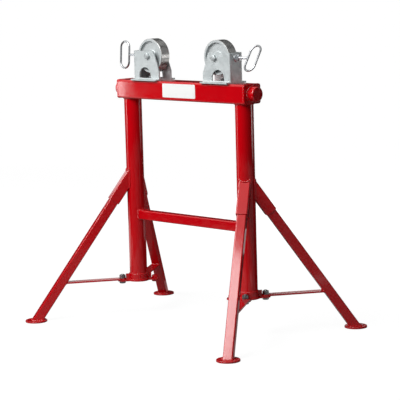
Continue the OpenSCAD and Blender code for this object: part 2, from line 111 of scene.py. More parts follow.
@dataclass(frozen=True)
class Box:
    """Box of a CAD node at rest, by its lowest and highest corner in metres."""

    low: Array
    high: Array

    @classmethod
    def of(cls, node: str) -> "Box":
        """Read the box of a CAD node."""
        return cls(*map(np.array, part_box(node)))

    @property
    def centre(self) -> Array:
        """Middle of the box."""
        return (self.low + self.high) / 2

    @property
    def half(self) -> Array:
        """Half its size along each axis."""
        return (self.high - self.low) / 2

    def inner(self, side: Side) -> float:
        """X of the end that looks towards the middle of the beam."""
        return self.low[0] if side is Side.RIGHT else self.high[0]

    def outer(self, side: Side) -> float:
        """X of the end that looks away from the middle of the beam."""
        return self.high[0] if side is Side.RIGHT else self.low[0]


# Surfaces worked out as arrays


@dataclass
class Shell:
    """A closed surface: points as an (n, 3) array and faces as arrays of point indices."""

    points: Array
    faces: list[Array]

    def placed(self, origin: Array, axes: Array) -> "Shell":
        """Carry the shell to origin plus its coordinates times axes, whose rows are its X, Y and Z."""
        return Shell(np.asarray(origin) + self.points @ np.asarray(axes, float), self.faces)


def ring_angles(count: int) -> Array:
    """Angles of so many even steps round a circle: 2 pi j / count."""
    return np.arange(count) * 2 * math.pi / count


def unit_rows(vectors: Array) -> Array:
    """Each row over its own length."""
    return vectors / np.linalg.norm(vectors, axis=1, keepdims=True)


def grid_shell(points: Array, loop: bool) -> Shell:
    """Skin a grid of points whose columns run round a section.

    The face at row i and column j joins (i, j), (i, j+1), (i+1, j+1) and (i+1, j), with columns
    taken modulo their count. With loop the rows are taken modulo their count too, and otherwise
    a fan to its mean point closes each end ring.

    Args:
        points: Array of shape (rows, columns, 3).
        loop: Whether the last row joins the first.

    Returns:
        The closed shell.
    """
    rows, cols = points.shape[:2]
    i, j = np.meshgrid(np.arange(rows if loop else rows - 1), np.arange(cols), indexing="ij")
    below, beside = (i + 1) % rows, (j + 1) % cols
    quads = np.stack([i * cols + j, i * cols + beside, below * cols + beside, below * cols + j], -1)
    flat, faces = points.reshape(-1, 3), [quads.reshape(-1, 4)]
    if not loop:
        first = np.arange(cols)
        last = first + (rows - 1) * cols
        pole = np.full(cols, len(flat))
        faces.append(np.stack([np.roll(first, -1), first, pole], -1))
        faces.append(np.stack([last, np.roll(last, -1), pole + 1], -1))
        flat = np.vstack([flat, points[0].mean(0), points[-1].mean(0)])
    return Shell(flat, faces)


def revolve(z: Array, radius: Array, bored: bool = False) -> Shell:
    """Turn a rod or ring about Z: the point at row i and column j is (r cos a, r sin a, z).

    Args:
        z: Height of each row.
        radius: Radius at each row and column, where column j lies at the angle 2 pi j / columns.
        bored: Whether the rows run on through a bore, so that the last joins the first.

    Returns:
        The closed rod or ring.
    """
    angle = ring_angles(radius.shape[1])
    circle = np.stack([np.cos(angle), np.sin(angle)], -1)
    rise = np.broadcast_to(z[:, None], radius.shape)
    return grid_shell(np.concatenate([radius[..., None] * circle, rise[..., None]], -1), loop=bored)


def rounded_outline(half_w: float, half_h: float, corner: float, count: int) -> tuple[Array, Array]:
    """Evenly spaced points and outward normals round a rectangle with round corners.

    Each corner is a quarter circle about a point one corner radius inside both sides. The four
    arcs are joined by straight runs, and the closed line is read off at equal steps of its length.

    Args:
        half_w: Half the width.
        half_h: Half the height.
        corner: Corner radius.
        count: Number of points.

    Returns:
        Points and unit normals, each of shape (count, 2).
    """
    sweep = np.arange(4)[:, None] * math.pi / 2 + np.linspace(0, math.pi / 2, CORNER_POINTS)
    normal = np.stack([np.cos(sweep), np.sin(sweep)], -1)
    centre = np.stack([(half_w - corner) * np.array([1, -1, -1, 1]),
                       (half_h - corner) * np.array([1, 1, -1, -1])], -1)
    line = (centre[:, None] + corner * normal).reshape(-1, 2)
    both = np.hstack([line, normal.reshape(-1, 2)])
    both = np.vstack([both, both[:1]])
    run = np.concatenate([[0], np.cumsum(np.linalg.norm(np.diff(both[:, :2], axis=0), axis=1))])
    at = np.linspace(0, run[-1], count, endpoint=False)
    read = np.stack([np.interp(at, run, both[:, k]) for k in range(4)], -1)
    return read[:, :2], unit_rows(read[:, 2:])


@dataclass(frozen=True)
class Bead:
    """A weld bead: a tube with crescent ripples, laid in the corner between two faces."""

    radius: float = 3.0 * MM
    pitch: float = 3.2 * MM
    ripple: float = 0.09
    lag: float = 1.5
    sides: int = 10
    steps_per_ripple: int = 6
    fewest_ripples: int = 4
    end_power: int = 10
    end_least: float = 0.03

    def count(self, length: float) -> int:
        """Number of stations along a bead of that length."""
        return max(self.fewest_ripples, round(length / self.pitch)) * self.steps_per_ripple

    def shell(self, path: Array, outward: Array, closed: bool) -> Shell:
        """Sweep the bead along a path.

        At length s and section angle a the radius is r (1 + ripple cos(2 pi s / pitch + lag cos a)),
        so each ripple's crown trails its toes. An open bead also shrinks at both ends by the
        square root of 1 - |2u - 1|^power, with u the share of the path.

        Args:
            path: Stations, shape (n, 3).
            outward: Direction at each station out of the corner, shape (n, 3).
            closed: Whether the path is a loop.

        Returns:
            The closed bead.
        """
        if closed:
            tangent = unit_rows(np.roll(path, -1, axis=0) - np.roll(path, 1, axis=0))
        else:
            tangent = unit_rows(np.gradient(path, axis=0))
        normal = unit_rows(outward - (outward * tangent).sum(1, keepdims=True) * tangent)
        side = np.cross(tangent, normal)
        angle = ring_angles(self.sides)
        phase = np.arange(len(path))[:, None] * 2 * math.pi / self.steps_per_ripple
        size = self.radius * (1 + self.ripple * np.cos(phase + self.lag * np.cos(angle)))
        if not closed:
            off_middle = np.abs(np.linspace(-1, 1, len(path)))[:, None]
            size = size * np.sqrt(np.clip(1 - off_middle ** self.end_power, self.end_least, 1))
        ring = normal[:, None] * np.cos(angle)[:, None] + side[:, None] * np.sin(angle)[:, None]
        return grid_shell(path[:, None] + size[..., None] * ring, loop=closed)

    def round_circle(self, centre: Array, radius: float, axes: Array, lean: float) -> Shell:
        """Lay the bead round a circle.

        The station at angle t is centre + radius (cos t U + sin t V), and the bead faces out along
        that radius plus lean times W, where U, V and W are the rows of axes.

        Args:
            centre: Middle of the circle.
            radius: Radius of the corner line.
            axes: Three unit directions, the first two in the circle's plane.
            lean: How much the bead faces along W.

        Returns:
            The closed bead.
        """
        turn = ring_angles(self.count(2 * math.pi * radius))[:, None]
        spoke = np.cos(turn) * axes[0] + np.sin(turn) * axes[1]
        return self.shell(np.asarray(centre) + radius * spoke, spoke + lean * np.asarray(axes[2]), True)

    def along(self, start: Array, end: Array, outward: Array) -> Shell:
        """Lay the bead on a straight line: the station at share u is start + u (end - start).

        Args:
            start: First point.
            end: Last point.
            outward: Direction out of the corner.

        Returns:
            The closed bead.
        """
        count = self.count(float(np.linalg.norm(end - start)))
        share = np.linspace(0, 1, count)[:, None]
        return self.shell(start + share * (end - start), np.tile(outward, (count, 1)), False)


@dataclass(frozen=True)
class Thread:
    """A vee thread cut into a rod."""

    radius: float
    pitch: float
    depth: float
    columns: int = 36
    rows_per_turn: int = 8

    def heights(self, low: float, high: float) -> Array:
        """Rows close enough together to carry the thread from low to high."""
        return np.linspace(low, high, max(3, round((high - low) / self.pitch * self.rows_per_turn)))

    def cut(self, z: Array, low: float, high: float) -> Array:
        """Radius of the thread at each height and column.

        It is the rod's radius less the depth times |2 frac(z / pitch - a / 2 pi) - 1|, and the
        depth fades in over one pitch from low and grows by a taper over the last pitch to high.

        Args:
            z: Heights, shape (rows,).
            low: Where the thread runs out on the shank.
            high: Free end of the thread.

        Returns:
            Radii of shape (rows, columns).
        """
        share = np.arange(self.columns) / self.columns
        turn = z[:, None] / self.pitch - share
        wave = np.abs(2 * (turn - np.floor(turn)) - 1)
        fade = np.clip((z - low) / self.pitch, 0, 1)[:, None]
        lead = np.clip(1 - (high - z) / self.pitch, 0, 1)[:, None]
        return np.minimum(self.radius - self.depth * fade * wave, self.radius - self.depth * lead)

    def rod(self, low: float, start: float, high: float) -> Shell:
        """Rod along Z from low to high, with its thread from start on."""
        z = self.heights(low, high)
        return revolve(z, self.cut(z, start, high))


@dataclass(frozen=True)
class Hexagon:
    """A hexagonal head or nut with its corners turned off at a slope."""

    flats: float
    height: float
    columns: int = 72
    turned: float = 0.475
    slope: float = math.tan(math.radians(30))
    bore: float = 0.0
    both_ends: bool = True

    def shell(self) -> Shell:
        """Stand the hexagon on Z = 0.

        At angle a its side lies at R = flats / 2 / cos((a mod 60) - 30), and each turned end drops
        by (R - turned flats) times the slope. A nut's section is closed through its bore.

        Returns:
            The closed head or nut, with a corner on its own X axis.
        """
        angle = ring_angles(self.columns)
        sector = math.pi / 3
        side = self.flats / 2 / np.cos(angle % sector - sector / 2)
        flat = np.full_like(side, self.turned * self.flats)
        drop = (side - flat) * self.slope
        zero, top = np.zeros_like(side), np.full_like(side, self.height)
        radius, rise = [side, flat], [top - drop, top]
        if self.both_ends:
            radius, rise = [flat, side] + radius, [zero, drop] + rise
        else:
            radius, rise = [side] + radius, [zero] + rise
        if self.bore:
            hole = np.full_like(side, self.bore)
            radius, rise = [hole] + radius + [hole], [zero] + rise + [top]
        r, z = np.array(radius), np.array(rise)
        points = np.stack([r * np.cos(angle), r * np.sin(angle), z], -1)
        return grid_shell(points, loop=self.bore > 0)


def add_object(name: str, data: bpy.types.ID) -> bpy.types.Object:
    """Put an object that holds a mesh, lamp or camera into the scene.

    Args:
        name: Name of the object.
        data: What it holds.

    Returns:
        The new object.
    """
    item = bpy.data.objects.new(name, data)
    bpy.context.scene.collection.objects.link(item)
    return item


def make_piece(name: str, shells: list[Shell], body: str, finish: Material,
               sharp: float = 35.0) -> bpy.types.Object:
    """Turn shells into one piece that rides on a body.

    Args:
        name: Name of the piece.
        shells: Closed surfaces in the frame, in metres.
        body: CAD body that carries the piece.
        finish: Material of the piece.
        sharp: Edges sharper than this angle, in degrees, stay sharp.

    Returns:
        The new object.
    """
    start = np.cumsum([0] + [len(s.points) for s in shells])
    faces = [row for s, k in zip(shells, start) for part in s.faces for row in (part + k).tolist()]
    mesh = bpy.data.meshes.new(name)
    mesh.from_pydata(np.vstack([s.points for s in shells]).tolist(), [], faces)
    shape = bmesh.new()
    shape.from_mesh(mesh)
    bmesh.ops.recalc_face_normals(shape, faces=shape.faces)
    shape.to_mesh(mesh)
    shape.free()
    mesh.polygons.foreach_set("use_smooth", np.ones(len(mesh.polygons), bool))
    mesh.set_sharp_from_angle(angle=math.radians(sharp))
    mesh.materials.append(finish)
    piece = add_object(name, mesh)
    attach(piece, body)
    LOG.info("%s: %d faces on %s", name, len(mesh.polygons), body)
    return piece


# Finishes


@dataclass(frozen=True)
class Mottle:
    """Noise of so many cells to the metre, of which a window of values is carried to a range."""

    per_metre: float
    detail: float
    values: Pair
    window: Pair = (0.3, 0.7)


@dataclass(frozen=True)
class Relief:
    """Noise of so many cells to the metre that raises a surface by strength times height."""

    per_metre: float
    detail: float
    strength: float
    height: float


class Graph:
    """A node tree, with short calls for the nodes that the finishes and the studio share."""

    def __init__(self, tree: bpy.types.NodeTree) -> None:
        """Take over a tree and empty it."""
        self.tree = tree
        tree.nodes.clear()

    def feed(self, target: Socket, value: object) -> None:
        """Link a socket, or set it.

        Args:
            target: The socket.
            value: Another node's socket, or a plain number or colour.
        """
        if isinstance(value, Socket):
            self.tree.links.new(value, target)
        else:
            target.default_value = value

    def fill(self, node: bpy.types.Node, values: dict[str, object]) -> bpy.types.Node:
        """Feed several sockets of a node.

        Args:
            node: The node.
            values: What each socket gets, by its name with _ for a space.

        Returns:
            The same node.
        """
        for name, value in values.items():
            self.feed(node.inputs[name.replace("_", " ")], value)
        return node

    def node(self, kind: str, **values: object) -> bpy.types.Node:
        """Add a shader node of a kind and feed its sockets."""
        return self.fill(self.tree.nodes.new("ShaderNode" + kind), values)

    def span(self, value: Socket, window: Pair, values: Pair) -> Socket:
        """Carry a window of values over to a range, clamped and eased.

        Args:
            value: The value to carry.
            window: Where the range begins and ends.
            values: First and last value of the range.

        Returns:
            The carried value.
        """
        node = self.node("MapRange", Value=value, From_Min=window[0], From_Max=window[1],
                         To_Min=values[0], To_Max=values[1])
        node.interpolation_type = "SMOOTHSTEP"
        return node.outputs["Result"]

    def maths(self, operation: str, a: object, b: object = 0.0) -> Socket:
        """One step of arithmetic.

        Args:
            operation: Blender's name of the step.
            a: First number or socket.
            b: Second number or socket, which some steps leave unused.

        Returns:
            The result.
        """
        node = self.node("Math")
        node.operation = operation
        self.feed(node.inputs[0], a)
        self.feed(node.inputs[1], b)
        return node.outputs[0]

    def length(self, vector: Socket) -> Socket:
        """Length of a vector.

        Args:
            vector: The vector.

        Returns:
            Its length.
        """
        node = self.node("VectorMath", Vector=vector)
        node.operation = "LENGTH"
        return node.outputs["Value"]

    def mix(self, share: object, a: Socket | Colour, b: Socket | Colour) -> Socket:
        """Blend two colours.

        Args:
            share: Share of the second colour.
            a: First colour.
            b: Second colour.

        Returns:
            The blend.
        """
        node = self.node("Mix")
        node.data_type = "RGBA"
        self.feed(node.inputs[0], share)
        for socket, value in ((node.inputs[6], a), (node.inputs[7], b)):
            self.feed(socket, (*value, 1.0) if isinstance(value, tuple) else value)
        return node.outputs[2]

    def seen(self) -> Socket:
        """Tell rays from the camera, from gloss and through glass from diffuse light.

        Returns:
            1 for the first three kinds of ray and 0 for diffuse light.
        """
        path = self.node("LightPath").outputs
        mirrored = self.maths("MAXIMUM", path["Is Glossy Ray"], path["Is Transmission Ray"])
        return self.maths("MAXIMUM", path["Is Camera Ray"], mirrored)


class Surface(Graph):
    """The node tree of a material with one surface shader."""

    def __init__(self, name: str) -> None:
        """Start the material with its shader and output.

        Args:
            name: Name of the material.
        """
        self.material = bpy.data.materials.new(name)
        self.material.use_nodes = True
        super().__init__(self.material.node_tree)
        self.shader = self.node("BsdfPrincipled")
        self.node("OutputMaterial", Surface=self.shader.outputs["BSDF"])
        self.coordinates = self.node("TexCoord").outputs["Object"]

    def finish(self, **values: object) -> Material:
        """Feed the shader's sockets and give the material."""
        self.fill(self.shader, values)
        return self.material

    def axis(self, name: str, vector: Socket) -> Socket:
        """The X, Y or Z of a vector."""
        return self.node("SeparateXYZ", Vector=vector).outputs[name]

    def shifted(self, origin: Point = (0, 0, 0), scale: Point = (1, 1, 1)) -> Socket:
        """Object coordinates measured from an origin, each times its scale."""
        place = [-o * s for o, s in zip(origin, scale)]
        return self.node("Mapping", Vector=self.coordinates, Location=place, Scale=scale).outputs["Vector"]

    def noise(self, per_metre: float, detail: float, vector: Socket | None = None) -> Socket:
        """Noise from 0 to 1, on the object's coordinates or another vector."""
        vector = vector or self.coordinates
        return self.node("TexNoise", Vector=vector, Scale=per_metre, Detail=detail).outputs[0]

    def mottle(self, look: Mottle) -> Socket:
        """The values of a mottle."""
        return self.span(self.noise(look.per_metre, look.detail), look.window, look.values)

    def bump(self, height: Socket, strength: float, distance: float, below: Socket | None = None) -> Socket:
        """Raise the surface by height times distance.

        Args:
            height: Height from 0 to 1.
            strength: How much of the bump shows.
            distance: Height of the bump in metres.
            below: Normals of a bump that lies below this one.

        Returns:
            The normals.
        """
        node = self.node("Bump", Height=height, Strength=strength, Distance=distance)
        if below is not None:
            self.feed(node.inputs["Normal"], below)
        return node.outputs["Normal"]

    def relief(self, look: Relief, below: Socket | None = None, vector: Socket | None = None) -> Socket:
        """Normals of a relief, on top of another bump and on a vector of its own if it has one."""
        height = self.noise(look.per_metre, look.detail, vector)
        return self.bump(height, look.strength, look.height, below)


class Finish(ABC):
    """A surface finish that becomes one material."""

    @abstractmethod
    def material(self) -> Material:
        """Build the finish's material."""


@dataclass(frozen=True)
class GlossPaint(Finish):
    """Red enamel: a broad shift of tone, orange peel, and scuffs close to the floor."""

    colour: Colour = (0.58, 0.001, 0.005)
    deep: Colour = (0.50, 0.001, 0.005)
    scuff: Colour = (0.10, 0.045, 0.04)
    tone: Mottle = Mottle(7, 3, (0.0, 0.55), (0.35, 0.7))
    gloss: Mottle = Mottle(38, 4, (0.07, 0.12))
    scuffs: Mottle = Mottle(260, 5, (0.0, 0.8), (0.52, 0.66))
    scuff_height: float = 9 * MM
    scuff_dulling: float = 0.35
    peel: Relief = Relief(420, 1.5, 0.10, 0.25 * MM)
    waves: Relief = Relief(46, 2, 0.06, 0.8 * MM)
    index: float = 1.5
    coat: float = 0.25
    coat_roughness: float = 0.05

    def material(self) -> Material:
        """Build the paint.

        Returns:
            The material.
        """
        g = Surface("red_enamel")
        low = g.span(g.axis("Z", g.coordinates), (0.0, self.scuff_height), (1.0, 0.0))
        worn = g.maths("MULTIPLY", low, g.mottle(self.scuffs))
        tone = g.mix(g.mottle(self.tone), self.colour, self.deep)
        dulling = g.maths("MULTIPLY", worn, self.scuff_dulling)
        return g.finish(Base_Color=g.mix(worn, tone, self.scuff), IOR=self.index, Coat_Weight=self.coat,
                        Coat_Roughness=self.coat_roughness,
                        Roughness=g.maths("ADD", g.mottle(self.gloss), dulling),
                        Normal=g.relief(self.waves, g.relief(self.peel)))


@dataclass(frozen=True)
class ZincPlate(Finish):
    """Clear zinc on rolled sheet: pale cloudy tone, faint rolling lines and handling marks."""

    colour: Colour = (0.585, 0.625, 0.63)
    cloud: Colour = (0.49, 0.53, 0.535)
    mark: Colour = (0.45, 0.46, 0.46)
    clouds: Mottle = Mottle(55, 5, (0.0, 0.8), (0.35, 0.7))
    marks: Mottle = Mottle(340, 4, (0.0, 0.35), (0.62, 0.72))
    gloss: Mottle = Mottle(90, 4, (0.40, 0.54))
    metallic: float = 0.5
    dents: Relief = Relief(160, 3, 0.1, 0.3 * MM)
    lines: Relief = Relief(1, 3, 0.1, 0.05 * MM)
    lines_per_metre: Point = (2600.0, 2600.0, 90.0)

    def material(self) -> Material:
        """Build the plating.

        Returns:
            The material.
        """
        g = Surface("zinc_plate")
        tone = g.mix(g.mottle(self.clouds), self.colour, self.cloud)
        lines = g.relief(self.lines, vector=g.shifted(scale=self.lines_per_metre))
        return g.finish(Base_Color=g.mix(g.mottle(self.marks), tone, self.mark), Metallic=self.metallic,
                        Roughness=g.mottle(self.gloss), Normal=g.relief(self.dents, lines))


@dataclass(frozen=True)
class TurnedSteel(Finish):
    """Steel off the lathe: fine rings round an axle along Y, and a rubbed tread."""

    name: str
    axle: Point
    tread_radius: float
    colour: Colour = (0.53, 0.56, 0.565)
    shade: Colour = (0.45, 0.475, 0.48)
    tread: Colour = (0.56, 0.56, 0.55)
    rubbed: Colour = (0.62, 0.61, 0.59)
    clouds: Mottle = Mottle(34, 4, (0.0, 0.5))
    rubbing: Mottle = Mottle(130, 5, (0.0, 0.6), (0.35, 0.7))
    gloss: Mottle = Mottle(75, 3, (0.47, 0.53))
    tread_polish: float = 0.26
    metallic: Pair = (0.5, 0.86)
    rim_depth: Pair = (1.6 * MM, 0.4 * MM)
    ring_pitch: float = 0.9 * MM
    ring_wander: float = 4.0
    wander_per_metre: float = 60.0
    wander_detail: float = 2.0
    ring_strength: float = 0.12
    ring_height: float = 0.04 * MM
    pits: Relief = Relief(220, 3, 0.03, 0.2 * MM)

    def material(self) -> Material:
        """Build the turned steel.

        The rings are a sine of the distance from the axle plus the distance along it, so they run
        round the faces and round the tread alike.

        Returns:
            The material.
        """
        g = Surface(self.name)
        radius = g.length(g.shifted(self.axle, (1.0, 0.0, 1.0)))
        along = g.axis("Y", g.shifted(self.axle))
        phase = g.maths("MULTIPLY", g.maths("ADD", radius, along), 2 * math.pi / self.ring_pitch)
        wander = g.maths("MULTIPLY", g.noise(self.wander_per_metre, self.wander_detail), self.ring_wander)
        rings = g.maths("SINE", g.maths("ADD", phase, wander))
        start, end = (self.tread_radius - depth for depth in self.rim_depth)
        rim = g.span(radius, (start, end), (0.0, 1.0))
        face = g.mix(g.mottle(self.clouds), self.colour, self.shade)
        tread = g.mix(g.mottle(self.rubbing), self.tread, self.rubbed)
        polish = g.maths("MULTIPLY", rim, self.tread_polish)
        return g.finish(Base_Color=g.mix(rim, face, tread), Metallic=g.span(rim, (0.0, 1.0), self.metallic),
                        Roughness=g.maths("SUBTRACT", g.mottle(self.gloss), polish),
                        Normal=g.bump(rings, self.ring_strength, self.ring_height, g.relief(self.pits)))


@dataclass(frozen=True)
class BareMetal(Finish):
    """Plain metal of one tone with a little cloud and fine scratches."""

    name: str
    colour: Colour
    shade: Colour
    gloss: Pair
    metallic: float = 1.0
    gloss_per_metre: float = 300.0
    gloss_detail: float = 4.0
    clouds: Mottle = Mottle(120, 4, (0.0, 1.0))
    scratches: Relief = Relief(900, 3, 0.08, 0.06 * MM)

    def material(self) -> Material:
        """Build the metal.

        Returns:
            The material.
        """
        g = Surface(self.name)
        return g.finish(Base_Color=g.mix(g.mottle(self.clouds), self.colour, self.shade),
                        Roughness=g.mottle(Mottle(self.gloss_per_metre, self.gloss_detail, self.gloss)),
                        Metallic=self.metallic, Normal=g.relief(self.scratches))


@dataclass(frozen=True)
class PlateWhite(Finish):
    """A bare white plate with a faint mottle and a satin film."""

    colour: Colour = (0.85, 0.86, 0.85)
    soiled: Colour = (0.78, 0.78, 0.76)
    stains: Mottle = Mottle(45, 5, (0.0, 0.5), (0.5, 0.75))
    gloss: Mottle = Mottle(80, 3, (0.28, 0.4))
    grain: Relief = Relief(500, 2, 0.05, 0.1 * MM)
    coat: float = 0.2
    coat_roughness: float = 0.1

    def material(self) -> Material:
        """Build the white film.

        Returns:
            The material.
        """
        g = Surface("bare_white_plate")
        return g.finish(Base_Color=g.mix(g.mottle(self.stains), self.colour, self.soiled),
                        Roughness=g.mottle(self.gloss), Coat_Weight=self.coat,
                        Coat_Roughness=self.coat_roughness, Normal=g.relief(self.grain))


def built(finish: Finish) -> Material:
    """Dataclass field that holds a finish's material, built together with its set."""
    return field(default_factory=finish.material)


@dataclass
class FinishSet:
    """Every material of the object that more than one piece may wear, built once."""

    paint: Material = built(GlossPaint())
    zinc: Material = built(ZincPlate())
    plate: Material = built(PlateWhite())
    bright: Material = built(BareMetal("bright_wire", (0.42, 0.43, 0.44), (0.28, 0.29, 0.30), (0.14, 0.22)))
    # Partly a brighter plating and partly painted highlight: a lighter copy of the zinc for the lock nuts
    # and lock screws, so that their facets read as lit.
    bright_zinc: Material = built(
        BareMetal("bright_zinc", (0.76, 0.79, 0.82), (0.62, 0.65, 0.68), (0.20, 0.30), 0.9))
    # Painted shade: a darker copy of the zinc for the axle bolts and nuts, which tones down their faces
    # towards the main softbox.
    satin: Material = built(
        BareMetal("satin_bolt", (0.50, 0.535, 0.54), (0.42, 0.45, 0.455), (0.36, 0.48), 0.5))
    pad: Material = built(BareMetal("plain_steel", (0.45, 0.46, 0.46), (0.36, 0.37, 0.37), (0.3, 0.42)))
    # Painted shade: a darker copy of the zinc for the hold-down bolts and nuts in the brackets and for the
    # brace bolts, nuts and washers, so that they read as dark as the shade and dark reflections about them.
    bolt: Material = built(BareMetal("dark_zinc", (0.38, 0.385, 0.39), (0.20, 0.20, 0.205), (0.24, 0.36)))
    bronze: Material = built(
        BareMetal("sintered_bronze", (0.56, 0.36, 0.16), (0.44, 0.27, 0.11), (0.34, 0.46)))
    weld: Material = built(BareMetal("plated_weld", (0.52, 0.53, 0.53), (0.34, 0.34, 0.34), (0.36, 0.5)))


def dress(finish: Material, *nodes: str) -> None:
    """Give CAD nodes a material in place of the plain one.

    Args:
        finish: The material.
        nodes: Names of the nodes.
    """
    for name in nodes:
        for slot in frame["nodes"][name].material_slots:
            slot.material = finish
        LOG.info("%s dressed in %s", name, finish.name)


# The stand


@dataclass
class LegJoint:
    """One leg with its socket, foot and brace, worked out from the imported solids."""

    side: Side
    end: End
    tilt: float = math.radians(35)
    leg_half: float = 31.75 / 2 * MM
    socket_half: float = 38.15 / 2 * MM
    corner: float = 4 * MM
    brace_half: float = 16 * MM
    brace_share: float = 0.86
    socket_lift: float = 0.3
    bead: Bead = Bead(radius=2.6 * MM)

    def __post_init__(self) -> None:
        """Read the column and foot and set the leg's own axes."""
        column, foot = Box.of(self.side.name_of("column")), Box.of(self.node("foot"))
        self.column, self.column_r = column.centre, column.half[0]
        self.foot_top = foot.high[2]
        plan = (foot.centre - self.column)[:2]
        reach = np.linalg.norm(plan)
        self.out = np.array([*(plan / reach), 0.0])
        self.across = np.array([-self.out[1], self.out[0], 0.0])
        self.down = np.array([*(self.out[:2] * math.sin(self.tilt)), -math.cos(self.tilt)])
        self.face = np.cross(self.across, self.down)
        self.apex = np.array([*self.column[:2], reach / math.tan(self.tilt)])

    def node(self, piece: str) -> str:
        """Name of this leg's node for a piece."""
        return f"{self.end.name.lower()}_{self.side.name_of(piece)}"

    def section(self, half: float) -> tuple[Array, Array]:
        """Outline of a square tube on the leg's axis at the apex.

        Args:
            half: Half the tube's width.

        Returns:
            Points and outward normals, as many as a bead round the slanted tube takes.
        """
        count = self.bead.count(8 * half / math.cos(self.tilt))
        flat, normal = rounded_outline(half, half, self.corner, count)
        axes = np.stack([self.across, self.face])
        return self.apex + flat @ axes, normal @ axes

    def socket_weld(self) -> Shell:
        """Bead where the socket's outside meets the column.

        Each line of the socket's outline runs along the leg until it leaves the column's
        cylinder, so its length t is the larger root of |p + t d - axis|^2 = r^2 in plan.

        Returns:
            The bead.
        """
        start, normal = self.section(self.socket_half)
        off, run = (start - self.column)[:, :2], self.down[:2]
        a, b = run @ run, off @ run
        c = (off * off).sum(1) - self.column_r ** 2
        t = (-b + np.sqrt(np.maximum(b * b - a * c, 0))) / a
        path = start + t[:, None] * self.down
        radial = (path - self.column) * (1, 1, 0) / self.column_r
        return self.bead.shell(path + self.socket_lift * self.bead.radius * radial, radial + normal, True)

    def foot_weld(self) -> Shell:
        """Bead where the leg's outside meets the top of its foot plate.

        Each line of the leg's outline runs along the leg until its height is that of the plate.

        Returns:
            The bead.
        """
        start, normal = self.section(self.leg_half)
        t = (self.foot_top - start[:, 2]) / self.down[2]
        return self.bead.shell(start + t[:, None] * self.down, normal + [0.0, 0.0, 1.0], True)

    def brace_welds(self) -> list[Shell]:
        """Beads above and below the brace where its end meets the leg's inner face.

        At height z that face lies (apex - z) tan tilt - half / cos tilt out from the column's axis.

        Returns:
            Both beads.
        """
        brace = Box.of(self.node("brace"))
        step = self.brace_share * self.brace_half * self.across
        beads = []
        for z, lean in ((brace.high[2], 1.0), (brace.low[2], -1.0)):
            t = (self.apex[2] - z) * math.tan(self.tilt) - self.leg_half / math.cos(self.tilt)
            middle = np.array([*self.column[:2], z]) + t * self.out
            beads.append(self.bead.along(middle - step, middle + step, np.array([0, 0, lean]) - self.out))
        return beads


